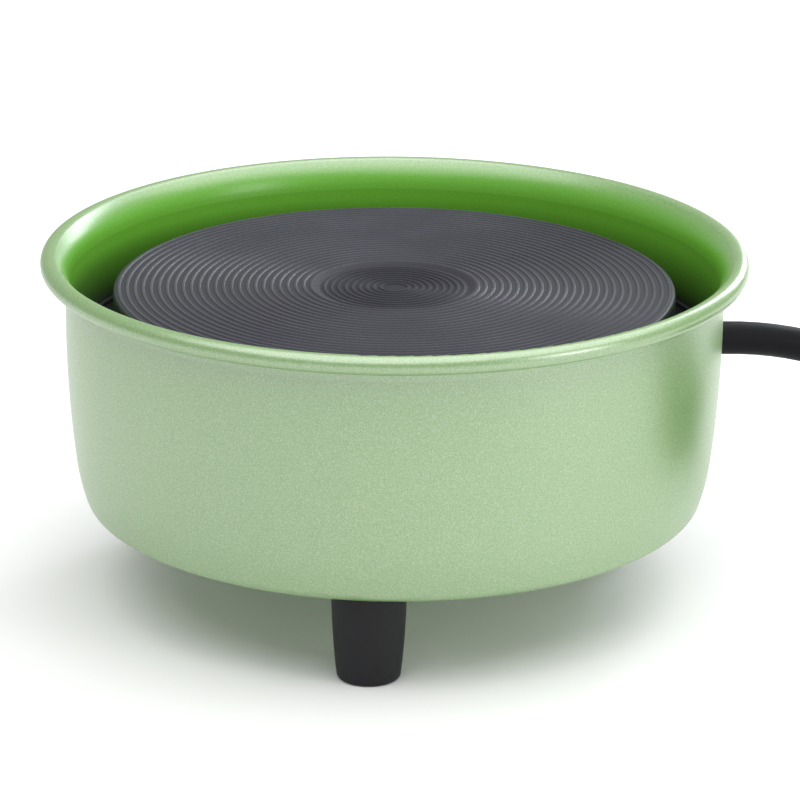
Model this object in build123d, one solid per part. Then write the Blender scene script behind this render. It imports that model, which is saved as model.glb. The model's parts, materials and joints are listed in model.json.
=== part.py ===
from build123d import *
import os
from math import acos, asin, atan2, cos, degrees, pi, radians, sin, tan

# A small electric pottery wheel. Millimetres, +Z up, origin on the bowl's axis at floor level.
# The front foot stands at -Y, and the lead leaves the wall between +X and +Y.

# Bowl: a pressed sheet with three tangent arcs below a straight wall, and a flared, rolled rim.
SHEET = 1.2
WALL_RADIUS = 91.0
BOWL_BASE = 26.4
RIM_Z = 95.4
RIM_RADIUS = 95.14
BEAD_RADIUS = 2.56
FLARE_RADIUS = 10.0
WALL_ARCS = ((318.0, 6.8), (54.0, 18.3), (3.7, 90.0))  # radius, angle reached in degrees

# Feet
FOOT_CIRCLE = 71.0
FOOT_AZIMUTHS = {"foot_front": -90.0, "foot_rear_right": 30.0, "foot_rear_left": 150.0}
FOOT_TOP_RADIUS, FOOT_MIDDLE_RADIUS, FOOT_LOW_RADIUS = 10.05, 9.6, 8.5
FOOT_MIDDLE = 12.0  # height of the middle radius
FOOT_EDGE = 1.2
FOOT_RECESS_RADIUS = 4.8
FOOT_RECESS_DEPTH = 9.0

# Fits
M4_RADIUS, M4_HOLE = 2.0, 2.1
LOOSE = 0.1  # radial gap round screws, pins and parts that are clamped or pressed
RUNNING = 0.3  # gap between parts that move past each other

# Heights of the drive, from the bowl's floor up
PULLEY_LOW, PULLEY_HIGH = 31.0, 37.0
PLATE_LOW, PLATE_HIGH = 40.0, 42.5
PLATE_RADIUS = 68.0
DECK_LOW, DECK_HIGH = 69.5, 71.0
WHEEL_LOW, WHEEL_TOP = 80.6, 87.6
HUB_LOW = 77.6

# Wheelhead
WHEEL_RADIUS = 77.8
WHEEL_CHAMFER = 0.8
RECESS_RADIUS, RECESS_FOOT, RECESS_DEPTH = 23.0, 20.7, 0.7  # its side slopes in to its foot
RIDGE_PITCH, RIDGE_WIDTH, RIDGE_SLOPE, RIDGE_DEPTH = 2.217, 0.5, 0.3, 0.3
RIDGE_COUNT, RIDGE_OUTER = 24, 76.3
RECESS_PITCH, RECESS_RIDGES, RECESS_OUTER = 1.95, 9, 19.5
HUB_RADIUS = 32.0
WHEEL_SCREW_CIRCLE, WHEEL_SCREW_AZIMUTHS = 26.0, (0, 120, 240)

# Spindle, bearings and housing
SPINDLE_RADIUS = 5.0
SPINDLE_LOW, SPINDLE_HIGH = 29.5, 80.4
RACE_SHOULDER = 6.9
RACE_LAND = 9.1
BEARING_RADIUS, BEARING_WIDTH = 11.0, 6.0
BALL_CIRCLE, BALL_RADIUS, BALL_COUNT = 8.0, 1.6, 9
BALL_GAP = 0.15
LOWER_BEARING, UPPER_BEARING = 43.5, 67.0
HOUSING_RADIUS, HOUSING_TOP = 15.0, 74.0
HOUSING_FLANGE = 25.0
COLLAR_RADIUS, COLLAR_TOP = 16.8, 76.0

# Belt drive
MOTOR_Y = 50.0
SPINDLE_PULLEY_CORE = 34.0
MOTOR_PULLEY_CORE = 6.8
PULLEY_LIP = 2.5
BELT_THICKNESS = 1.5
MOTOR_RADIUS, MOTOR_TOP = 21.0, 67.0
MOTOR_SHAFT_RADIUS = 1.6

# Posts that carry the drive plate and the splash deck
POST_CIRCLE, POST_RADIUS = 60.0, 4.5
POST_AZIMUTHS = (45.0, 135.0, 225.0, 315.0)

# Rear controls
CONTROL_Z = 55.0
SWITCH_AZIMUTH = 62.0
SWITCH_WIDTH, SWITCH_HEIGHT = 15.0, 21.0
BEZEL_HIGH = 92.8
ROCKER_PIVOT = 88.7
ROCKER_WIDTH, ROCKER_HEIGHT = 9.6, 15.0
ROCKER_TILT = 12.0
DIAL_AZIMUTH = 118.0
POT_RADIUS, POT_DEPTH = 8.0, 8.0
DIAL_RADIUS, DIAL_LOW, DIAL_HIGH = 12.0, 91.2, 96.4

# Lead
CORD_AZIMUTH = 25.0
CORD_Z = 62.0
CORD_RADIUS = 3.5
BOOT_RADIUS = 4.75
BOOT_BEND = 120.0
BOOT_ARC = 17.2
BOOT_TAPER = 16.0
BOOT_FLANGE = 6.4
LEAD_STRAIGHT = 14.5
# The lead's route as it falls in the plane of its exit: distance from the bowl's axis, height.
CORD_FALL = ((167.5, 38.8), (176.8, 25.8), (186.6, 14.3), (199.0, 7.0), (213.5, 4.7))
COIL_INNER, COIL_OUTER = 31.5, 45.5
COIL_LOW, COIL_HIGH = 1.1, 22.2
COIL_CENTRE = (216.0, 55.0)
LEAD_MEETS_COIL = 102.0
TIE_AZIMUTH, TIE_WIDTH, TIE_THICKNESS = 200.0, 12.0, 1.0
# The tail rises on to the coil along an arc of its own: angle round that arc, height.
TAIL_CENTRE, TAIL_RADIUS = (-4.65, 3.82), 41.0
TAIL_RISE = ((55, 18.3), (40, 19.0), (25, 21.0), (10, 24.2), (-5, 27.2), (-20, 29.0), (-35, 29.0))
PLUG_LENGTH, PLUG_WIDTH, PLUG_HEIGHT = 36.0, 32.0, 13.6
PIN_RADIUS, PIN_LENGTH, PIN_SPACING = 2.0, 19.0, 18.6


ON_FLOOR = (Align.CENTER, Align.CENTER, Align.MIN)


def column(radius, low, high, x=0.0, y=0.0):
    return Pos(x, y, low) * Cylinder(radius, high - low, align=ON_FLOOR)


def ring(outer, inner, low, high, x=0.0, y=0.0):
    return column(outer, low, high, x, y) - column(inner, low - 1, high + 1, x, y)


def turned(points):
    """A solid turned about Z from (radius, height) points."""
    outline = Polyline(*[(r, 0, z) for r, z in points], close=True)
    return revolve(make_face(outline), Axis.Z)


def around(shape, radius, azimuths):
    """Copies of a shape made on the axis, moved out to a circle."""
    return [Pos(radius * cos(radians(a)), radius * sin(radians(a)), 0) * shape for a in azimuths]


def outward(shape, azimuth, z):
    """Turns a shape made along +Z so that it points away from the bowl's axis at a height."""
    return Pos(0, 0, z) * Rot(0, 0, azimuth) * Rot(0, 90, 0) * shape


def screw(radius, head_radius, head_height, tip, seat, up=True):
    """A pan-head screw on the axis: its shank runs from tip to seat, and its head lies past the seat."""
    far = seat + head_height if up else seat - head_height
    shank = column(radius, min(tip, seat), max(tip, seat))
    head = column(head_radius, min(seat, far), max(seat, far))
    slot_low = far - head_height / 2 if up else far
    slot = Pos(0, 0, slot_low) * Box(1.0, 1.6 * head_radius, head_height / 2, align=ON_FLOOR)
    return shank + head - slot


def wall_drop():
    """Height of the wall's curved part, from the base to where the straight wall starts."""
    drop, last = 0.0, 0.0
    for radius, angle in WALL_ARCS:
        drop += radius * (sin(radians(angle)) - sin(radians(last)))
        last = angle
    return drop


WALL_START = BOWL_BASE + wall_drop()


def wall_radius(z):
    """Outer radius of the wall at a height on its straight part or its first arc."""
    arc = WALL_ARCS[0][0]
    below = max(0.0, WALL_START - z)
    return WALL_RADIUS - arc + (arc**2 - below**2) ** 0.5


def seat_radius(z, half_size):
    """Largest distance from the axis where a flat face of that half size stays inside the wall."""
    inner = wall_radius(z - half_size) - SHEET
    return (inner**2 - half_size**2) ** 0.5 - LOOSE


def wall_edges(inset):
    """Edges of the wall from its straight top down to the base, moved in by inset, and their ends."""
    edges = []
    centre = [WALL_RADIUS - WALL_ARCS[0][0], WALL_START]
    last = 0.0
    point = (WALL_RADIUS - inset, WALL_START)
    top = point
    for i, (radius, angle) in enumerate(WALL_ARCS):
        if i:
            step = WALL_ARCS[i - 1][0] - radius
            centre = [centre[0] + step * cos(radians(last)), centre[1] - step * sin(radians(last))]
        r = radius - inset
        middle, end = (
            (centre[0] + r * cos(radians(a)), centre[1] - r * sin(radians(a)))
            for a in ((last + angle) / 2, angle)
        )
        edges.append(ThreePointArc(point, middle, end))
        point, last = end, angle
    return edges, top, point


def flare_edge(inset, angle):
    """The rim's flare, from the top of the wall outward, and its two ends."""
    centre = (WALL_RADIUS - SHEET + FLARE_RADIUS, FLARE_START)
    r = FLARE_RADIUS - SHEET + inset
    low, middle, end = (
        (centre[0] - r * cos(radians(a)), centre[1] + r * sin(radians(a))) for a in (0, angle / 2, angle)
    )
    return ThreePointArc(low, middle, end), low, end


FLARE_ANGLE = degrees(
    acos((FLARE_RADIUS - RIM_RADIUS + WALL_RADIUS - SHEET) / (FLARE_RADIUS - BEAD_RADIUS))
)
FLARE_START = RIM_Z - (FLARE_RADIUS - BEAD_RADIUS) * sin(radians(FLARE_ANGLE))
BOWL_FLOOR = BOWL_BASE + SHEET


def bowl():
    outer, outer_top, outer_base = wall_edges(0)
    inner, inner_top, inner_base = wall_edges(SHEET)
    outer_flare, outer_low, outer_end = flare_edge(0, FLARE_ANGLE)
    inner_flare, inner_low, inner_end = flare_edge(SHEET, FLARE_ANGLE)
    outline = [
        *outer,
        Line(outer_base, (0, BOWL_BASE)),
        Line((0, BOWL_BASE), (0, BOWL_FLOOR)),
        Line((0, BOWL_FLOOR), inner_base),
        *inner,
        Line(inner_top, inner_low),
        inner_flare,
        Line(inner_end, outer_end),
        outer_flare,
        Line(outer_low, outer_top),
    ]
    section = make_face(outline) + Pos(RIM_RADIUS, RIM_Z) * Circle(BEAD_RADIUS)
    shell = revolve(Plane.XZ * section, Axis.Z)
    screw_hole = column(M4_HOLE, BOWL_BASE - 1, BOWL_FLOOR + 1)
    for hole in around(screw_hole, FOOT_CIRCLE, FOOT_AZIMUTHS.values()):
        shell -= hole
    for hole in around(screw_hole, POST_CIRCLE, POST_AZIMUTHS):
        shell -= hole
    shell -= outward(column(BOOT_RADIUS + LOOSE, 80, 100), CORD_AZIMUTH, CORD_Z)
    shell -= outward(column(3.4, 80, 100), DIAL_AZIMUTH, CONTROL_Z)
    hole = Pos(0, WALL_RADIUS, CONTROL_Z) * Box(SWITCH_WIDTH - 1.8, 10, SWITCH_HEIGHT - 1.8)
    return shell - Rot(0, 0, SWITCH_AZIMUTH - 90) * hole


def filled_bowl():
    """The space inside the wall's outer face, for parts that are cut to sit on it."""
    edges, top, base = wall_edges(0)
    close = [Line(base, (0, BOWL_BASE)), Line((0, BOWL_BASE), (0, top[1])), Line((0, top[1]), top)]
    curved = revolve(Plane.XZ * make_face([*edges, *close]), Axis.Z)
    return curved + column(WALL_RADIUS, WALL_START - 0.01, WALL_START + 5)


def foot():
    """A rubber foot with a side that bulges slightly and a recess for its screw."""
    low, high = (FOOT_LOW_RADIUS, 0), (FOOT_TOP_RADIUS, BOWL_BASE)
    inside = Polyline(
        high,
        (M4_HOLE, BOWL_BASE),
        (M4_HOLE, FOOT_RECESS_DEPTH),
        (FOOT_RECESS_RADIUS, FOOT_RECESS_DEPTH),
        (FOOT_RECESS_RADIUS, 0),
        low,
    )
    side = ThreePointArc(low, (FOOT_MIDDLE_RADIUS, FOOT_MIDDLE), high)
    section = make_face([side, *inside.edges()])
    low_corner = section.vertices().sort_by(Axis.Y)[0:2].sort_by(Axis.X)[-1]
    section = fillet(low_corner, FOOT_EDGE)
    return revolve(Plane.XZ * section, Axis.Z)


def wheelhead():
    """Disc with narrow raised ridges: first from the edge in, then inside the recess."""
    floor = WHEEL_TOP - RIDGE_DEPTH
    flat = WHEEL_RADIUS - WHEEL_CHAMFER
    points = [(0, WHEEL_LOW), (flat, WHEEL_LOW), (WHEEL_RADIUS, WHEEL_LOW + WHEEL_CHAMFER)]
    points += [(WHEEL_RADIUS, floor - WHEEL_CHAMFER), (WHEEL_RADIUS - 0.3, floor - 0.2)]
    for k in range(RIDGE_COUNT):
        points += ridge(RIDGE_OUTER - k * RIDGE_PITCH, WHEEL_TOP, floor)
    lip = RECESS_RADIUS + RIDGE_WIDTH
    points += [(lip + RIDGE_SLOPE, floor), (lip, WHEEL_TOP), (RECESS_RADIUS, WHEEL_TOP)]
    low_top, low_floor = WHEEL_TOP - RECESS_DEPTH, WHEEL_TOP - RECESS_DEPTH - RIDGE_DEPTH
    points += [(RECESS_FOOT, low_floor)]
    for k in range(RECESS_RIDGES):
        points += ridge(RECESS_OUTER - k * RECESS_PITCH, low_top, low_floor)
    points += [(0, low_floor)]
    disc = turned(points)
    bore = column(M4_HOLE, WHEEL_LOW - 1, WHEEL_LOW + 4.6)
    for hole in around(bore, WHEEL_SCREW_CIRCLE, WHEEL_SCREW_AZIMUTHS):
        disc -= hole
    return disc


def ridge(radius, top, floor):
    """Four outline points of one ridge, from its outer foot to its inner foot."""
    half = RIDGE_WIDTH / 2
    return [
        (radius + half + RIDGE_SLOPE, floor),
        (radius + half, top),
        (radius - half, top),
        (radius - half - RIDGE_SLOPE, floor),
    ]


def wheel_parts():
    boss = RACE_SHOULDER - 0.3
    bore = SPINDLE_RADIUS + LOOSE
    upper_race_top = UPPER_BEARING + BEARING_WIDTH
    hub = ring(HUB_RADIUS, bore, HUB_LOW, WHEEL_LOW) + ring(boss, bore, upper_race_top, HUB_LOW)
    screw_hole = column(M4_HOLE, HUB_LOW - 1, WHEEL_LOW + 1)
    for hole in around(screw_hole, WHEEL_SCREW_CIRCLE, WHEEL_SCREW_AZIMUTHS):
        hub -= hole
    fixing = screw(M4_RADIUS, 3.5, 2.2, WHEEL_LOW + 4.4, HUB_LOW, up=False)
    slinger = ring(COLLAR_RADIUS + 2.4, boss + LOOSE, HUB_LOW - 0.8, HUB_LOW)
    slinger += ring(COLLAR_RADIUS + 2.4, COLLAR_RADIUS + 1.4, DECK_HIGH + 1.5, HUB_LOW)
    flange = SPINDLE_PULLEY_CORE + PULLEY_LIP
    pulley = ring(flange, bore, PULLEY_LOW, PULLEY_HIGH) - ring(
        flange + 1, SPINDLE_PULLEY_CORE, PULLEY_LOW + 1, PULLEY_HIGH - 1
    )
    pulley += ring(boss, bore, PULLEY_HIGH, LOWER_BEARING)
    for hole in around(column(6.5, PULLEY_LOW - 1, PULLEY_HIGH + 1), 20.0, range(0, 360, 72)):
        pulley -= hole
    return {
        "wheelhead": wheelhead(),
        "wheel_hub": hub,
        "water_slinger": slinger,
        "wheelhead_screws": around(fixing, WHEEL_SCREW_CIRCLE, WHEEL_SCREW_AZIMUTHS),
        "spindle": column(SPINDLE_RADIUS, SPINDLE_LOW, SPINDLE_HIGH),
        "spindle_spacer": ring(boss, bore, LOWER_BEARING + BEARING_WIDTH, UPPER_BEARING),
        "spindle_pulley": pulley,
        "spindle_clip": ring(8.0, bore, PULLEY_LOW - 1, PULLEY_LOW),
    }


def bearing(name, low):
    """Inner race, outer race and balls, with a groove a little larger than the balls."""
    high = low + BEARING_WIDTH
    middle = (low + high) / 2
    groove = Pos(0, 0, middle) * Torus(BALL_CIRCLE, BALL_RADIUS + BALL_GAP)
    ball = Pos(0, 0, middle) * Sphere(BALL_RADIUS)
    azimuths = [360 / BALL_COUNT * k for k in range(BALL_COUNT)]
    return {
        name + "_bearing_outer_race": ring(BEARING_RADIUS, RACE_LAND, low, high) - groove,
        name + "_bearing_inner_race": ring(RACE_SHOULDER, SPINDLE_RADIUS + LOOSE, low, high) - groove,
        name + "_bearing_balls": around(ball, BALL_CIRCLE, azimuths),
    }


def housing_parts():
    seat = BEARING_RADIUS + LOOSE
    housing = ring(HOUSING_RADIUS, RACE_LAND + 0.4, PLATE_HIGH, HOUSING_TOP)
    housing += ring(HOUSING_FLANGE, RACE_LAND + 0.4, PLATE_HIGH, PLATE_HIGH + 3)
    housing -= column(seat, PLATE_HIGH - 1, LOWER_BEARING + BEARING_WIDTH)
    housing -= column(seat, UPPER_BEARING, HOUSING_TOP + 1)
    azimuths = (30, 150, 270)
    for hole in around(column(1.6, PLATE_HIGH - 1, PLATE_HIGH + 4), 20.5, azimuths):
        housing -= hole
    clips = [
        ring(BEARING_RADIUS, RACE_LAND, PLATE_HIGH + 0.1, LOWER_BEARING),
        ring(BEARING_RADIUS, RACE_LAND, UPPER_BEARING + BEARING_WIDTH, HOUSING_TOP - 0.2),
    ]
    return {
        "bearing_housing": housing,
        "housing_circlips": clips,
        "housing_screws": around(screw(1.5, 2.8, 1.8, PLATE_LOW, PLATE_HIGH + 3), 20.5, azimuths),
    }


def structure_parts():
    plate = column(PLATE_RADIUS, PLATE_LOW, PLATE_HIGH) - column(8.5, PLATE_LOW - 1, PLATE_HIGH + 1)
    for hole in around(column(1.6, PLATE_LOW - 1, PLATE_HIGH + 1), 20.5, (30, 150, 270)):
        plate -= hole
    plate -= column(5.0, PLATE_LOW - 1, PLATE_HIGH + 1, 0, MOTOR_Y)
    for x in (-12.5, 12.5):
        plate -= column(1.6, PLATE_LOW - 1, PLATE_HIGH + 1, x, MOTOR_Y)
    for hole in around(column(M4_HOLE, PLATE_LOW - 1, PLATE_HIGH + 1), POST_CIRCLE, POST_AZIMUTHS):
        plate -= hole
    plate -= Pos(0, -PLATE_RADIUS, (PLATE_LOW + PLATE_HIGH) / 2) * Box(72, 56, 6)
    lower = ring(POST_RADIUS, M4_HOLE, BOWL_FLOOR, PLATE_LOW)
    upper = column(POST_RADIUS, PLATE_HIGH, DECK_LOW) + column(2.0, PLATE_LOW - 5, PLATE_HIGH)
    upper -= column(M4_HOLE, DECK_LOW - 10, DECK_LOW + 1)
    deck_rim = WALL_RADIUS - SHEET - 1.8
    deck = ring(deck_rim, HOUSING_RADIUS + RUNNING, DECK_LOW, DECK_HIGH)
    deck += ring(COLLAR_RADIUS, HOUSING_RADIUS + RUNNING, DECK_LOW, COLLAR_TOP)
    for hole in around(column(M4_HOLE, DECK_LOW - 1, DECK_HIGH + 1), POST_CIRCLE, POST_AZIMUTHS):
        deck -= hole
    seal = ring(deck_rim + 1.6, deck_rim + LOOSE, DECK_LOW - 0.8, DECK_HIGH + 1.0)
    washer_high = DECK_HIGH + 0.8
    at_posts = {
        "lower_posts": lower,
        "upper_posts": upper,
        "post_screws": screw(M4_RADIUS, 3.5, 2.2, BOWL_FLOOR + 6, BOWL_BASE, up=False),
        "deck_washers": ring(4.5, M4_HOLE, DECK_HIGH, washer_high),
        "deck_screws": screw(M4_RADIUS, 3.5, 2.2, DECK_LOW - 9, washer_high),
    }
    made = {name: around(shape, POST_CIRCLE, POST_AZIMUTHS) for name, shape in at_posts.items()}
    made.update({"drive_plate": plate, "splash_deck": deck, "deck_seal": seal})
    return made


def motor_parts():
    at = Pos(0, MOTOR_Y, 0)
    wall = 1.2
    cap_top = PLATE_HIGH + 2.5
    can = column(MOTOR_RADIUS, PLATE_HIGH, MOTOR_TOP)
    can -= column(MOTOR_RADIUS - wall, PLATE_HIGH - 1, MOTOR_TOP - wall)
    cap = ring(MOTOR_RADIUS - wall - LOOSE, MOTOR_SHAFT_RADIUS + RUNNING, PLATE_HIGH, cap_top)
    for x in (-12.5, 12.5):
        cap -= column(1.6, PLATE_HIGH - 1, cap_top + 1, x, 0)
    magnet = ring(MOTOR_RADIUS - wall - LOOSE, 14.2, cap_top, MOTOR_TOP - wall - 3)
    magnets = [magnet & Pos(x, 0, 55) * Box(30, 26, 60) for x in (-15, 15)]
    core = ring(13.5, MOTOR_SHAFT_RADIUS + LOOSE, cap_top + 2, MOTOR_TOP - 8)
    slot = Pos(11.5, 0, 55) * Box(5, 2.2, 60)
    for k in range(7):
        core -= Rot(0, 0, 360 / 7 * k) * slot
    commutator = ring(4.0, MOTOR_SHAFT_RADIUS + LOOSE, MOTOR_TOP - 7.5, MOTOR_TOP - 3.5)
    lip = MOTOR_PULLEY_CORE + PULLEY_LIP
    pulley = ring(lip, MOTOR_SHAFT_RADIUS + LOOSE, PULLEY_LOW, PULLEY_HIGH) - ring(
        lip + 1, MOTOR_PULLEY_CORE, PULLEY_LOW + 1, PULLEY_HIGH - 1
    )
    screws = [Pos(x, 0, 0) * screw(1.5, 2.6, 1.6, cap_top, PLATE_LOW, up=False) for x in (-12.5, 12.5)]
    return {
        "motor_can": at * can,
        "motor_cap": at * cap,
        "motor_magnets": [at * m for m in magnets],
        "motor_rotor": [at * core, at * commutator],
        "motor_shaft": at * column(MOTOR_SHAFT_RADIUS, PULLEY_LOW - 1, MOTOR_TOP - 2),
        "motor_pulley": at * pulley,
        "motor_screws": [at * s for s in screws],
    }


def belt_face(extra):
    """The area inside a belt line that runs extra outside the pulleys' cores."""
    big, small = SPINDLE_PULLEY_CORE + extra, MOTOR_PULLEY_CORE + extra
    lean = acos((big - small) / MOTOR_Y)
    side, along = sin(lean), cos(lean)
    right_big, left_big = (big * side, big * along), (-big * side, big * along)
    right_small = (small * side, MOTOR_Y + small * along)
    left_small = (-small * side, MOTOR_Y + small * along)
    return make_face(
        [
            ThreePointArc(right_big, (0, -big), left_big),
            Line(left_big, left_small),
            ThreePointArc(left_small, (0, MOTOR_Y + small), right_small),
            Line(right_small, right_big),
        ]
    )


def drive_belt():
    low, high = PULLEY_LOW + 1 + RUNNING, PULLEY_HIGH - 1 - RUNNING
    loop = belt_face(RUNNING + BELT_THICKNESS) - belt_face(RUNNING)
    return Pos(0, 0, low) * extrude(loop, high - low)


BOARD_Y, BOARD_LOW, BOARD_THICKNESS = -54.0, 33.6, 1.6
BOARD_SIZE = (56.0, 24.0)


def board_parts():
    high = BOARD_LOW + BOARD_THICKNESS
    corners = [(x, BOARD_Y + y) for x in (-25, 25) for y in (-9, 9)]
    middle = BOARD_LOW + BOARD_THICKNESS / 2
    board = Pos(0, BOARD_Y, middle) * Box(*BOARD_SIZE, BOARD_THICKNESS)
    for x, y in corners:
        board -= column(1.3, BOARD_LOW - 1, high + 1, x, y)
    components = [
        column(4.0, high, high + 11, -16, BOARD_Y + 3),
        column(2.5, high, high + 8, -8, BOARD_Y - 5),
        Pos(2, BOARD_Y + 1, high) * Box(12, 15, 10, align=ON_FLOOR),
        Pos(15, BOARD_Y + 2, high) * Box(9, 12, 14, align=ON_FLOOR),
        Pos(12, BOARD_Y - 8, high) * Box(14, 6, 8, align=ON_FLOOR),
    ]
    pin = ring(2.6, 1.3, BOWL_FLOOR, BOARD_LOW)
    return {
        "control_board": board,
        "board_components": components,
        "board_standoffs": [Pos(x, y, 0) * pin for x, y in corners],
        "board_screws": [Pos(x, y, 0) * screw(1.2, 2.3, 1.5, BOARD_LOW - 4, high) for x, y in corners],
    }


def foot_parts():
    made = {name: around(foot(), FOOT_CIRCLE, [a])[0] for name, a in FOOT_AZIMUTHS.items()}
    azimuths = list(FOOT_AZIMUTHS.values())
    washer_low = FOOT_RECESS_DEPTH - 1.0
    nut = extrude(RegularPolygon(4.0, 6), 3.0)
    nut = Pos(0, 0, BOWL_FLOOR) * nut - column(M4_HOLE, BOWL_FLOOR - 1, BOWL_FLOOR + 4)
    fixings = {
        "foot_washers": ring(4.6, M4_HOLE, washer_low, FOOT_RECESS_DEPTH),
        "foot_screws": screw(M4_RADIUS, 3.5, 2.4, BOWL_FLOOR + 3, washer_low, up=False),
        "foot_nuts": nut,
    }
    made.update({name: around(shape, FOOT_CIRCLE, azimuths) for name, shape in fixings.items()})
    return made


def switch_parts():
    """Rocker switch in the rear wall. The back of its bezel follows the curved wall."""
    shoulder = wall_radius(CONTROL_Z) - SHEET
    cavity_low = BEZEL_HIGH - 10.3
    turn = Rot(0, 0, SWITCH_AZIMUTH - 90)
    bezel = Pos(0, BEZEL_HIGH - 3, CONTROL_Z) * Box(SWITCH_WIDTH, 6, SWITCH_HEIGHT) - filled_bowl()
    body = bezel + Pos(0, BEZEL_HIGH - 8, CONTROL_Z) * Box(SWITCH_WIDTH - 2, 14, SWITCH_HEIGHT - 2)
    body -= Pos(0, cavity_low + 8, CONTROL_Z) * Box(ROCKER_WIDTH + 2 * RUNNING, 16, ROCKER_HEIGHT + 2.2)
    for x in (-3, 3):
        body += Pos(x, shoulder - 15, CONTROL_Z) * Box(0.8, 8, 4.8)
    half, face, back = ROCKER_HEIGHT / 2, 3.0, 3.4
    side = Polyline(
        (-back, -half), (face, -half), (face - 1.1, 0), (face, half), (-back, half), close=True
    )
    rocker = extrude(Plane.YZ * make_face(side), ROCKER_WIDTH / 2, both=True)
    return {
        "switch_body": turn * body,
        "switch_rocker": turn * Pos(0, ROCKER_PIVOT, CONTROL_Z) * Rot(-ROCKER_TILT, 0, 0) * rocker,
    }


def dial_parts():
    knob = column(DIAL_RADIUS, DIAL_LOW, DIAL_HIGH)
    knob = chamfer(knob.faces().sort_by(Axis.Z)[-1].edges(), 0.8)
    groove = Pos(DIAL_RADIUS + 0.5, 0, 0) * column(1.0, DIAL_LOW - 1, DIAL_HIGH + 1)
    for k in range(20):
        knob -= Rot(0, 0, 18 * k + 9) * groove
    knob -= Pos(-7.5, 0, DIAL_HIGH) * Box(7, 1.2, 1.0)
    knob -= column(2.5, DIAL_LOW - 1, DIAL_LOW + 3)
    seat = seat_radius(CONTROL_Z, POT_RADIUS)
    pot = column(POT_RADIUS, seat - POT_DEPTH, seat) + column(3.2, seat - 1, WALL_RADIUS)
    pot += column(2.5 - RUNNING, WALL_RADIUS - 1, DIAL_LOW + 2.5)
    return {
        "dial_knob": outward(knob, DIAL_AZIMUTH, CONTROL_Z),
        "dial_pot": outward(pot, DIAL_AZIMUTH, CONTROL_Z),
    }


def round_path(points, share=0.45):
    """Straight runs joined by tangent arcs, each as large as its two runs allow."""
    spots = [Vector(*p) for p in points]
    radii = []
    for a, b, c in zip(spots, spots[1:], spots[2:]):
        turn = radians((b - a).get_angle(c - b))
        radii.append(share * min((b - a).length, (c - b).length) / tan(turn / 2))
    return FilletPolyline(*spots, radius=radii), radii


def tube(points, radius):
    path, radii = round_path(points)
    start = Plane(origin=path @ 0, z_dir=path % 0)
    return sweep(start * Circle(radius), path=path), path.length, radii


def in_exit_plane(distance, z):
    return (distance * cos(radians(CORD_AZIMUTH)), distance * sin(radians(CORD_AZIMUTH)), z)


def on_coil(azimuth, radius, z):
    return (
        COIL_CENTRE[0] + radius * cos(radians(azimuth)),
        COIL_CENTRE[1] + radius * sin(radians(azimuth)),
        z,
    )


def boot():
    """Strain relief: a flange inside the wall, a neck that bends down, then a straight taper."""
    seat, root = seat_radius(CORD_Z, BOOT_FLANGE), wall_radius(CORD_Z)
    straight = column(BOOT_FLANGE, seat - 2, seat) + column(BOOT_RADIUS, seat - 2, root)
    turn = radians(BOOT_ARC)
    bend_axis = Axis((root, 0, -BOOT_BEND), (0, 1, 0))
    bent = revolve(Plane(origin=(root, 0, 0), z_dir=(1, 0, 0)) * Circle(BOOT_RADIUS), bend_axis, BOOT_ARC)
    end = Vector(root + BOOT_BEND * sin(turn), 0, -BOOT_BEND * (1 - cos(turn)))
    way = Vector(cos(turn), 0, -sin(turn))
    tip = end + way * BOOT_TAPER
    wide = Plane(origin=end, z_dir=way) * Circle(BOOT_RADIUS)
    slim = Plane(origin=tip, z_dir=way) * Circle(CORD_RADIUS + 0.5)
    whole = Rot(0, 90, 0) * straight + bent + loft([wide, slim])
    lead = tip + way * LEAD_STRAIGHT
    start = [in_exit_plane(p.X, p.Z + CORD_Z) for p in (tip, lead)]
    return Pos(0, 0, CORD_Z) * Rot(0, 0, CORD_AZIMUTH) * whole, start


def coil_ring(grow):
    """The coil's section, made larger by grow on every side, turned round the coil's axis."""
    width, height = COIL_OUTER - COIL_INNER + 2 * grow, COIL_HIGH - COIL_LOW + 2 * grow
    middle = ((COIL_OUTER + COIL_INNER) / 2, (COIL_LOW + COIL_HIGH) / 2)
    return Plane.XZ * Pos(*middle) * RectangleRounded(width, height, CORD_RADIUS + grow)


def tail_points():
    x, y = COIL_CENTRE[0] + TAIL_CENTRE[0], COIL_CENTRE[1] + TAIL_CENTRE[1]
    return [(x + TAIL_RADIUS * cos(radians(a)), y + TAIL_RADIUS * sin(radians(a)), z) for a, z in TAIL_RISE]


def plug_frame():
    """The middle of the plug and the way it points, in line with the tail's last run."""
    before, back = (Vector(*p) for p in tail_points()[-2:])
    way = (back - before).normalized()
    return back + way * (PLUG_LENGTH / 2), way


def plug_parts():
    half, narrow = PLUG_LENGTH / 2, 6.5
    outline = Polyline(
        (-half, -narrow), (-half + 9, -narrow), (half - 9, -PLUG_WIDTH / 2), (half, -PLUG_WIDTH / 2),
        (half, PLUG_WIDTH / 2), (half - 9, PLUG_WIDTH / 2), (-half + 9, narrow), (-half, narrow),
        close=True,
    )
    body = extrude(make_face(outline), PLUG_HEIGHT / 2, both=True)
    body = fillet(body.edges().filter_by(Axis.Z), 2.5)
    body = fillet(body.faces().sort_by(Axis.Z)[-1].edges() + body.faces().sort_by(Axis.Z)[0].edges(), 1.8)
    pin = Rot(0, 90, 0) * column(PIN_RADIUS, 0, PIN_LENGTH)
    pin = fillet(pin.faces().sort_by(Axis.X)[-1].edges(), 1.2)
    middle, way = plug_frame()
    place = Pos(*middle) * Rot(0, 0, degrees(atan2(way.Y, way.X)))
    return {
        "plug_body": place * body,
        "plug_pins": [place * Pos(half, y, 0) * pin for y in (-PIN_SPACING / 2, PIN_SPACING / 2)],
    }


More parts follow.
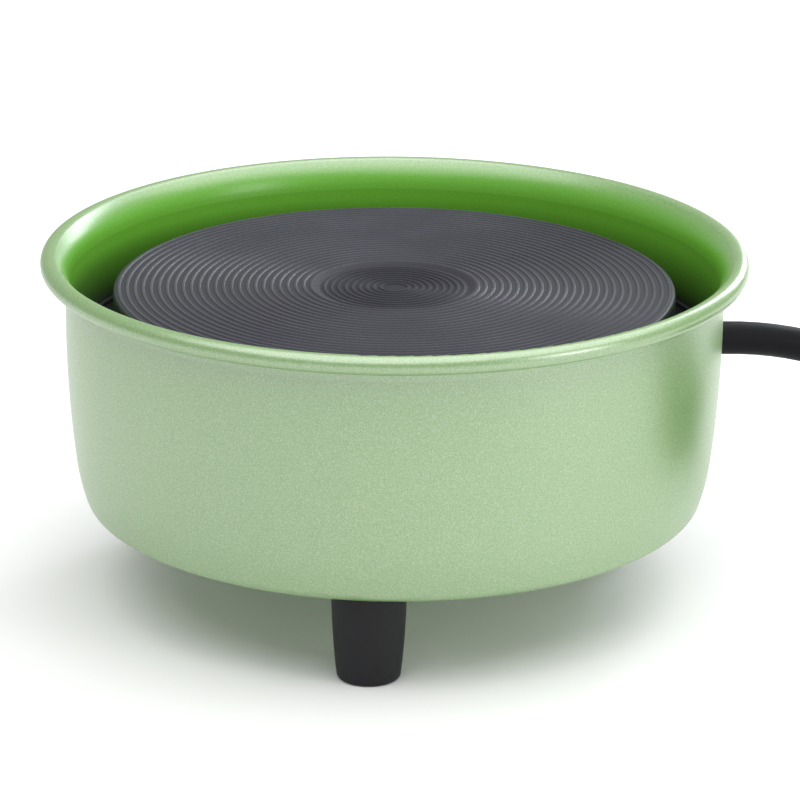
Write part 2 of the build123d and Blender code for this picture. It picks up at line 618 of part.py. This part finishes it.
def cord_parts():
    relief, start = boot()
    entry = on_coil(LEAD_MEETS_COIL, COIL_OUTER - CORD_RADIUS, COIL_LOW + CORD_RADIUS)
    route = start + [in_exit_plane(*p) for p in CORD_FALL] + [entry]
    lead, lead_length, lead_radii = tube(route, CORD_RADIUS)
    tail, tail_length, tail_radii = tube(tail_points(), CORD_RADIUS)
    for name, shape, length, radii in (
        ("cord", lead, lead_length, lead_radii),
        ("cord_tail", tail, tail_length, tail_radii),
    ):
        expected = pi * CORD_RADIUS**2 * length
        print(name, "length", round(length, 1), "radii", [round(r, 1) for r in radii])
        print(name, "volume share", round(shape.volume / expected, 4))
    half_tie = degrees(asin(TIE_WIDTH / 2 / COIL_OUTER))
    tie = revolve(coil_ring(TIE_THICKNESS), Axis.Z, 2 * half_tie) - revolve(coil_ring(0), Axis.Z)
    coil_place = Pos(*COIL_CENTRE, 0)
    nut_high = seat_radius(CORD_Z, BOOT_FLANGE) - 2
    return {
        "cord_boot": relief,
        "cord": lead,
        "cord_tail": tail,
        "cord_coil": coil_place * revolve(coil_ring(0), Axis.Z),
        "cord_tie": coil_place * Rot(0, 0, TIE_AZIMUTH - half_tie) * tie,
        "gland_nut": outward(ring(BOOT_FLANGE, CORD_RADIUS, nut_high - 4, nut_high), CORD_AZIMUTH, CORD_Z),
    }


def in_plan(azimuth, radius, z):
    return (radius * cos(radians(azimuth)), radius * sin(radians(azimuth)), z)


def wiring_parts():
    """Internal leads, each from terminal to terminal, clear of the posts, the plate and each other."""
    gland = seat_radius(CORD_Z, BOOT_FLANGE) - 2
    supply = [in_plan(CORD_AZIMUTH, gland, CORD_Z), in_plan(CORD_AZIMUTH, gland - 11, CORD_Z)]
    supply += [in_plan(12, 71, 58.5), in_plan(-5, 72, 54), in_plan(-22, 73, 50), in_plan(-38, 73, 46)]
    supply += [in_plan(-52, 74.5, 42), (30, -62, 40), (19, -62, 40)]
    blade = wall_radius(CONTROL_Z) - SHEET - 19
    switch = [in_plan(SWITCH_AZIMUTH - 2.4, blade, 55), in_plan(SWITCH_AZIMUTH - 2.4, blade - 9, 54.4)]
    switch += [(34, 46, 51), (39, 31, 48), (46, 13, 46.5), (49, -6, 46), (45, -24, 46)]
    switch += [(36, -38, 45.6), (30, -47, 45), (19.5, -51, 45)]
    motor = [(-14.9, MOTOR_Y - 14.9, 62), (-22, MOTOR_Y - 22, 61.4), (-29, 14, 57), (-35, -3, 51.5)]
    motor += [(-36, -21, 47.5), (-33, -37, 45.5), (-29, -47, 43), (-20, -51, 42)]
    pot = seat_radius(CONTROL_Z, POT_RADIUS) - POT_DEPTH
    dial = [in_plan(DIAL_AZIMUTH, pot, 55), in_plan(DIAL_AZIMUTH, pot - 11, 54.6)]
    dial += [(-30, 50, 52), (-36, 34, 48.5), (-47, 18, 46.8), (-54, 0, 46.2), (-57, -18, 46)]
    dial += [(-58, -35, 45.8), (-51, -51, 44), (-38, -60, 41.2), (-24, -61, 39.6), (-10.5, -59, 39.5)]
    leads = {"supply_tail": (supply, 3.0), "switch_leads": (switch, 1.4)}
    leads.update({"motor_leads": (motor, 1.6), "dial_leads": (dial, 1.4)})
    return {name: tube(route, radius)[0] for name, (route, radius) in leads.items()}


def write(name, shape):
    solids = []
    for item in shape if isinstance(shape, (list, tuple)) else [shape]:
        solids += item.solids()
    whole = solids[0] if len(solids) == 1 else Compound(children=solids)
    whole.label = name
    export_step(whole, os.path.join("parts", name + ".step"))


os.makedirs("parts", exist_ok=True)
nodes = {"bowl": bowl(), "drive_belt": drive_belt()}
for group in (
    foot_parts(),
    structure_parts(),
    housing_parts(),
    bearing("upper", UPPER_BEARING),
    bearing("lower", LOWER_BEARING),
    wheel_parts(),
    motor_parts(),
    board_parts(),
    switch_parts(),
    dial_parts(),
    cord_parts(),
    plug_parts(),
    wiring_parts(),
):
    nodes.update(group)
for name, shape in nodes.items():
    write(name, shape)
print(len(nodes), "nodes")
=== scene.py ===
import json
from math import cos, radians, sin

import bpy
from mathutils import Matrix, Vector


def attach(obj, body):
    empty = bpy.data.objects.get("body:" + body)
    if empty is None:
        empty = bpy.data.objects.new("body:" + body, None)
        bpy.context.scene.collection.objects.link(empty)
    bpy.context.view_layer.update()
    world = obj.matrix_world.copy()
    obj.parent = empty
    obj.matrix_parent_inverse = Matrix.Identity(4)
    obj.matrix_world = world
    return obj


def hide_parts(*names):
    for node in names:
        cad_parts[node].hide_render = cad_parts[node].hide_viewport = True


# A small electric pottery wheel. Metres, in the row frame: +Z up, the front foot at -Y.

# Camera
CAMERA_AZIMUTH = 4.9  # degrees that the camera stands round from -Y towards +X
CAMERA_ELEVATION = 18.89
CAMERA_ROLL = 0.46
CAMERA_DISTANCE = 1.116
CAMERA_AIM_RIGHT, CAMERA_AIM_HEIGHT = 0.00174, 0.05369
CAMERA_LENS, SENSOR = 179.5, 36.0

# Lead: its route repeats the CAD source's points.
CORD_AZIMUTH = 25.0
CORD_DIAMETER = 0.007
CORD_FALL = (
    (0.14141, 0.05190), (0.15526, 0.04761), (0.1675, 0.0388), (0.1768, 0.0258),
    (0.1866, 0.0143), (0.1990, 0.0070), (0.2135, 0.0047),
)
COIL_CENTRE = (0.216, 0.055)
COIL_RADII = (0.042, 0.035)
COIL_FLOOR = 0.0046
COIL_START, COIL_TURNS = 102.0, 5.11
POINTS_PER_TURN = 16
CROSSINGS, CROSSING_EVERY, CROSSING_TURNS = 5, 0.86, 0.14  # count, spacing and length in turns
POLYGON_GAIN = 1.013  # the smooth line runs a little inside its control points
TAIL_RADIUS = 0.0355
TAIL_RISE = (
    (47, 0.0187), (32, 0.0200), (17, 0.0224), (2, 0.0253), (-13, 0.0278), (-27, 0.0290), (-38, 0.0290),
)

# Wheelhead: the same ridges as the CAD source's.
WHEEL_TOP, RIDGE_DEPTH = 0.0876, 0.0003
RECESS_FOOT, RECESS_DEPTH = 0.0207, 0.0007
RECESS_STEP = (RECESS_FOOT - 0.0004, RECESS_FOOT - 0.0002)  # radii between which the crests drop
RECESS_FADE = (RECESS_FOOT - 0.004, RECESS_FOOT + 0.004)  # radii between which the shine fades

# Inside the bowl the paint is darkened with painted shade below the first height and left plain above
# the second.
WELL_SHADE_LOW, WELL_SHADE_HIGH = 0.0720, 0.0868

# Studio: each light has a name, place, aim, size, power and colour.
FLOOR_SIZE = 6.0
WORLD_STRENGTH = 0.55
LIGHTS = (
    ("top_box", (0.10, -0.1, 1.1), (0, 0, 0.06), (2.4, 1.6), 23, (1, 1, 1)),
    ("right_box", (0.80, -0.45, 0.32), (0.1, 0, 0.06), (0.30, 0.4), 2.0, (1, 1, 1)),
    ("rear_strip", (0.42, 0.85, 0.42), (0.06, 0, 0.08), (0.25, 0.5), 3.0, (0.90, 0.95, 1.0)),
)

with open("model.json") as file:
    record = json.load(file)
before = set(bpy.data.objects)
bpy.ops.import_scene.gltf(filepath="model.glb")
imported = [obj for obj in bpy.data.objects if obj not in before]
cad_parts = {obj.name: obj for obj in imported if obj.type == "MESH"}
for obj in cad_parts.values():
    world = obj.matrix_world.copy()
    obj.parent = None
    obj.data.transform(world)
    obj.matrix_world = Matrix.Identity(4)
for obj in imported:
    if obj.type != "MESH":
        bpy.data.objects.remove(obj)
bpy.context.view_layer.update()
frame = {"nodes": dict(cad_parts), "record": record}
nodes = frame["nodes"]


# ---------------------------------------------------------------- camera

def add_camera():
    a, e, roll = (radians(v) for v in (CAMERA_AZIMUTH, CAMERA_ELEVATION, CAMERA_ROLL))
    ahead = Vector((-sin(a) * cos(e), cos(a) * cos(e), -sin(e)))
    right = Vector((cos(a), sin(a), 0))
    up = right.cross(ahead)
    aim = right * CAMERA_AIM_RIGHT + Vector((0, 0, CAMERA_AIM_HEIGHT))
    rolled_right = right * cos(roll) + up * sin(roll)
    rolled_up = rolled_right.cross(ahead)
    turn = Matrix((rolled_right, rolled_up, -ahead)).transposed().to_4x4()
    data = bpy.data.cameras.new("camera")
    data.lens, data.sensor_width = CAMERA_LENS, SENSOR
    camera = bpy.data.objects.new("camera", data)
    camera.matrix_world = Matrix.Translation(aim - ahead * CAMERA_DISTANCE) @ turn
    bpy.context.scene.collection.objects.link(camera)
    bpy.context.scene.camera = camera


# ---------------------------------------------------------------- lead

def smooth(x):
    x = min(1.0, max(0.0, x))
    return x * x * (3 - 2 * x)


def coil_place(radius, angle):
    """Where a radius and an angle in degrees fall, round the coil's middle."""
    a = radians(angle)
    return COIL_CENTRE[0] + radius * cos(a), COIL_CENTRE[1] + radius * sin(a)


def coil_points():
    """Turns side by side and in three layers. Every crossing moves the lead in, up, out, up, in."""
    wide, slim = COIL_RADII
    points = []
    for i in range(int(COIL_TURNS * POINTS_PER_TURN) + 1):
        turn = i / POINTS_PER_TURN
        radius, height = wide, COIL_FLOOR
        for k in range(1, CROSSINGS + 1):
            done = smooth((turn - CROSSING_EVERY * k) / CROSSING_TURNS)
            if k % 2 == 0:
                height += done * CORD_DIAMETER
            elif k % 4 == 1:
                radius += done * (slim - wide)
            else:
                radius += done * (wide - slim)
        points.append((*coil_place(radius * POLYGON_GAIN, COIL_START - 360 * turn), height))
    return points


def cord_points():
    a = radians(CORD_AZIMUTH)
    fall = [(s * cos(a), s * sin(a), z) for s, z in CORD_FALL]
    tail = [(*coil_place(TAIL_RADIUS, angle), z) for angle, z in TAIL_RISE]
    return fall + coil_points() + tail


def add_cord():
    points = cord_points()
    data = bpy.data.curves.new("mains_lead", "CURVE")
    data.dimensions = "3D"
    data.bevel_depth = 1.0  # the points' own radius scales it
    data.bevel_resolution = 8
    data.resolution_u = 8
    data.use_fill_caps = True
    spline = data.splines.new("NURBS")
    spline.points.add(len(points) - 1)
    for p, co in zip(spline.points, points):
        p.co = (*co, 1.0)
        p.radius = CORD_DIAMETER / 2
    spline.order_u = 3
    spline.use_endpoint_u = True
    cord = bpy.data.objects.new("mains_lead", data)
    bpy.context.scene.collection.objects.link(cord)
    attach(cord, "base")
    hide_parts("cord", "cord_coil", "cord_tail")
    return cord


# ---------------------------------------------------------------- materials

def new_material(name):
    mat = bpy.data.materials.new(name)
    mat.use_nodes = True
    return mat, mat.node_tree, mat.node_tree.nodes["Principled BSDF"]


def noise(tree, scale, detail=2.0, rough=0.5):
    """Noise in the object's own coordinates: scale is in features to the metre."""
    place = tree.nodes.new("ShaderNodeTexCoord")
    made = tree.nodes.new("ShaderNodeTexNoise")
    made.inputs["Scale"].default_value = scale
    made.inputs["Detail"].default_value = detail
    made.inputs["Roughness"].default_value = rough
    tree.links.new(place.outputs["Object"], made.inputs["Vector"])
    return made.outputs["Fac"]


def ramp(tree, value, stops):
    """Colours along a value: stops are (place, colour)."""
    made = tree.nodes.new("ShaderNodeValToRGB")
    tree.links.new(value, made.inputs["Fac"])
    band = made.color_ramp
    for place, colour in stops[1:-1]:
        band.elements.new(place).color = (*colour, 1)
    band.elements[0].position, band.elements[0].color = stops[0][0], (*stops[0][1], 1)
    band.elements[-1].position, band.elements[-1].color = stops[-1][0], (*stops[-1][1], 1)
    return made.outputs["Color"]


def grey(tree, value, low, high, start=0.3, end=0.7):
    """A value that runs from low to high while the given one runs from start to end."""
    made = tree.nodes.new("ShaderNodeMapRange")
    for key, number in (("From Min", start), ("From Max", end), ("To Min", low), ("To Max", high)):
        made.inputs[key].default_value = number
    tree.links.new(value, made.inputs["Value"])
    return made.outputs["Result"]


def bump(tree, shader, value, distance, strength=1.0):
    made = tree.nodes.new("ShaderNodeBump")
    made.inputs["Strength"].default_value = strength
    made.inputs["Distance"].default_value = distance
    tree.links.new(value, made.inputs["Height"])
    tree.links.new(made.outputs["Normal"], shader.inputs["Normal"])


def from_axis(tree):
    """The way from the object's own Z axis to each point, level and in metres."""
    place = tree.nodes.new("ShaderNodeTexCoord")
    flat = tree.nodes.new("ShaderNodeVectorMath")
    flat.operation = "MULTIPLY"
    flat.inputs[1].default_value = (1, 1, 0)
    tree.links.new(place.outputs["Object"], flat.inputs[0])
    return flat.outputs["Vector"]


def combine(tree, operation, first, second):
    made = tree.nodes.new("ShaderNodeMath")
    made.operation = operation
    tree.links.new(first, made.inputs[0])
    tree.links.new(second, made.inputs[1])
    return made.outputs["Value"]


def outward_share(tree):
    """How far a face looks away from the bowl's axis: 0 inwards, 0.5 up or down, 1 outwards."""
    place = tree.nodes.new("ShaderNodeTexCoord")
    away = tree.nodes.new("ShaderNodeVectorMath")
    away.operation = "NORMALIZE"
    dot = tree.nodes.new("ShaderNodeVectorMath")
    dot.operation = "DOT_PRODUCT"
    tree.links.new(from_axis(tree), away.inputs[0])
    tree.links.new(away.outputs["Vector"], dot.inputs[0])
    tree.links.new(place.outputs["Normal"], dot.inputs[1])
    return grey(tree, dot.outputs["Value"], 0.0, 1.0, -1.0, 1.0)


def mix_colours(tree, share, first, second):
    made = tree.nodes.new("ShaderNodeMix")
    made.data_type = "RGBA"
    tree.links.new(share, made.inputs["Factor"])
    tree.links.new(first, made.inputs["A"])
    tree.links.new(second, made.inputs["B"])
    return made.outputs["Result"]


def axis_value(tree, axis):
    """One of the object's own coordinates, in metres."""
    place = tree.nodes.new("ShaderNodeTexCoord")
    axes = tree.nodes.new("ShaderNodeSeparateXYZ")
    tree.links.new(place.outputs["Object"], axes.inputs["Vector"])
    return axes.outputs[axis]


def enamel():
    """Green paint, plain inside the bowl with painted shade low in the well, and with pale pearl
    flakes on its rim and outside whose pale colour partly paints reflected light.
    """
    mat, tree, shader = new_material("bowl_enamel")
    flakes = noise(tree, 2900, 2.0, 0.7)
    painted_shade_green = ramp(tree, flakes, [(0.34, (0.007, 0.016, 0.004)), (0.68, (0.010, 0.023, 0.005))])
    plain = ramp(tree, flakes, [(0.34, (0.110, 0.365, 0.026)), (0.68, (0.150, 0.425, 0.040))])
    # Pearl paint with pale flakes; the pale colour on outward and upward faces also paints a reflected
    # sheen, most of all the pale band on the rim's flare.
    pearl_and_painted_sheen = ramp(
        tree, flakes,
        [(0.34, (0.070, 0.200, 0.017)), (0.50, (0.113, 0.266, 0.040)), (0.67, (0.250, 0.365, 0.175))],
    )
    # Painted shade: the inner green darkens towards the bottom of the well, next to the shaded gap
    # under the wheelhead.
    unshaded_share = grey(tree, axis_value(tree, "Z"), 0.0, 1.0, WELL_SHADE_LOW, WELL_SHADE_HIGH)
    inside = mix_colours(tree, unshaded_share, painted_shade_green, plain)
    outside = grey(tree, outward_share(tree), 0.0, 1.0, 0.03, 0.20)
    tree.links.new(mix_colours(tree, outside, inside, pearl_and_painted_sheen), shader.inputs["Base Color"])
    tint = ramp(tree, outside, [(0.0, (0.12, 0.12, 0.12)), (1.0, (1.0, 1.0, 1.0))])
    tree.links.new(tint, shader.inputs["Specular Tint"])
    tree.links.new(grey(tree, noise(tree, 2300, 1.0), 0.28, 0.42), shader.inputs["Roughness"])
    shader.inputs["IOR"].default_value = 2.7
    shader.inputs["Coat Weight"].default_value = 0.3
    shader.inputs["Coat Roughness"].default_value = 0.24
    bump(tree, shader, flakes, 0.00002, 0.6)
    return mat


def moulded(name, colour, roughness, grain=1400, depth=0.00004, ior=1.5):
    """Rubber or plastic with fine grain and slight patches of shade."""
    mat, tree, shader = new_material(name)
    patches = noise(tree, 90, 3.0)
    dark, light = (tuple(c * k for c in colour) for k in (0.82, 1.2))
    tree.links.new(ramp(tree, patches, [(0.3, dark), (0.7, light)]), shader.inputs["Base Color"])
    tree.links.new(grey(tree, patches, roughness - 0.05, roughness + 0.05), shader.inputs["Roughness"])
    shader.inputs["IOR"].default_value = ior
    bump(tree, shader, noise(tree, grain, 3.0), depth, 0.5)
    return mat


def metal(name, colour, roughness, grain=700):
    """Worked metal with a fine uneven grain."""
    mat, tree, shader = new_material(name)
    fine = noise(tree, grain, 4.0)
    dark, light = (tuple(min(1.0, c * k) for c in colour) for k in (0.88, 1.08))
    tree.links.new(ramp(tree, fine, [(0.3, dark), (0.7, light)]), shader.inputs["Base Color"])
    tree.links.new(grey(tree, fine, roughness - 0.06, roughness + 0.08), shader.inputs["Roughness"])
    shader.inputs["Metallic"].default_value = 1.0
    bump(tree, shader, fine, 0.00002, 0.4)
    return mat


def coated_disc():
    """The wheelhead's dark coat, lighter along its ridges' crests with a painted highlight and some
    rubbing, and duller in its recess.
    """
    mat, tree, shader = new_material("wheelhead_dark")
    reach = tree.nodes.new("ShaderNodeVectorMath")
    reach.operation = "LENGTH"
    tree.links.new(from_axis(tree), reach.inputs[0])
    radius = reach.outputs["Value"]
    sunk = grey(tree, radius, RECESS_DEPTH, 0.0, *RECESS_STEP)
    level = combine(tree, "ADD", axis_value(tree, "Z"), sunk)
    crest = grey(tree, level, 0.0, 1.0, WHEEL_TOP - RIDGE_DEPTH, WHEEL_TOP)
    fine = noise(tree, 1800, 3.0)
    dark = ramp(tree, fine, [(0.3, (0.015, 0.015, 0.020)), (0.7, (0.023, 0.023, 0.030))])
    # Painted highlight: the lighter crest colour stands in for light caught along the ridges, with
    # some rubbing; it fades in random patches and is weaker in the recess.
    crest_highlight_and_rub = ramp(tree, fine, [(0.3, (0.036, 0.037, 0.046)), (0.7, (0.056, 0.057, 0.070))])
    gloss = grey(tree, radius, 0.0, 1.0, *RECESS_FADE)
    patches = grey(tree, noise(tree, 28, 2.0), 0.25, 1.0, 0.35, 0.62)
    highlight_and_wear_strength = combine(tree, "MULTIPLY", patches, grey(tree, gloss, 0.45, 1.0, 0.0, 1.0))
    highlight_and_wear_share = combine(tree, "MULTIPLY", crest, highlight_and_wear_strength)
    tree.links.new(mix_colours(tree, highlight_and_wear_share, dark, crest_highlight_and_rub), shader.inputs["Base Color"])
    tint = ramp(tree, gloss, [(0.0, (0.30, 0.30, 0.33)), (1.0, (0.88, 0.88, 1.0))])
    tree.links.new(tint, shader.inputs["Specular Tint"])
    dull, polish = grey(tree, fine, 0.62, 0.76), grey(tree, gloss, 0.0, 0.2, 0.0, 1.0)
    tree.links.new(combine(tree, "SUBTRACT", dull, polish), shader.inputs["Roughness"])
    shader.inputs["IOR"].default_value = 1.42
    bump(tree, shader, fine, 0.00003, 0.3)
    return mat


def make_materials():
    return {
        "bowl_enamel": enamel(),
        "wheelhead_dark": coated_disc(),
        "foot_rubber": moulded("foot_rubber", (0.011, 0.011, 0.013), 0.55, ior=1.33),
        "cord_rubber": moulded(
            "cord_rubber", (0.005, 0.005, 0.007), 0.55, grain=2200, depth=0.00002, ior=1.22
        ),
        "black_plastic": moulded("black_plastic", (0.012, 0.012, 0.013), 0.42, ior=1.4),
        # Black deck, darkened further than the other plastics so that the gap round the wheelhead
        # shows painted shade.
        "deck_plastic": moulded("deck_plastic", (0.005, 0.006, 0.005), 0.55, ior=1.22),
        "zinc_steel": metal("zinc_steel", (0.62, 0.61, 0.58), 0.32),
        "bearing_steel": metal("bearing_steel", (0.70, 0.70, 0.70), 0.14),
        "cast_alloy": metal("cast_alloy", (0.68, 0.68, 0.67), 0.36),
        "motor_steel": metal("motor_steel", (0.52, 0.52, 0.51), 0.3),
        "magnet_ferrite": moulded("magnet_ferrite", (0.045, 0.043, 0.042), 0.7),
        "belt_rubber": moulded("belt_rubber", (0.016, 0.016, 0.016), 0.6),
        "board_green": moulded("board_green", (0.02, 0.13, 0.06), 0.35),
        "brass": metal("brass", (0.80, 0.66, 0.36), 0.22),
    }


def paint_nodes(materials):
    for part in frame["record"]["subparts"]:
        mesh = nodes[part["node"]].data
        mesh.materials.clear()
        mesh.materials.append(materials[part["material_slot"]])


# ---------------------------------------------------------------- studio

def area_light(name, place, aim, size, power, colour):
    data = bpy.data.lights.new(name, "AREA")
    data.shape = "RECTANGLE"
    data.size, data.size_y = size
    data.energy = power
    data.color = colour
    light = bpy.data.objects.new(name, data)
    light.location = place
    light.rotation_euler = (Vector(aim) - Vector(place)).to_track_quat("-Z", "Y").to_euler()
    bpy.context.scene.collection.objects.link(light)


def add_studio():
    scene = bpy.context.scene
    scene.view_settings.view_transform = "Standard"
    world = bpy.data.worlds.new("studio")
    world.use_nodes = True
    world.node_tree.nodes["Background"].inputs["Color"].default_value = (1, 1, 1, 1)
    world.node_tree.nodes["Background"].inputs["Strength"].default_value = WORLD_STRENGTH
    scene.world = world
    bpy.ops.mesh.primitive_plane_add(size=FLOOR_SIZE)
    floor = bpy.context.object
    floor.name = "floor"
    mat, _, shader = new_material("floor_white")
    shader.inputs["Base Color"].default_value = (0.9, 0.9, 0.9, 1)
    shader.inputs["Roughness"].default_value = 0.7
    floor.data.materials.append(mat)
    for light in LIGHTS:
        area_light(*light)


add_camera()
cord = add_cord()
materials = make_materials()
paint_nodes(materials)
cord.data.materials.append(materials["cord_rubber"])
add_studio()
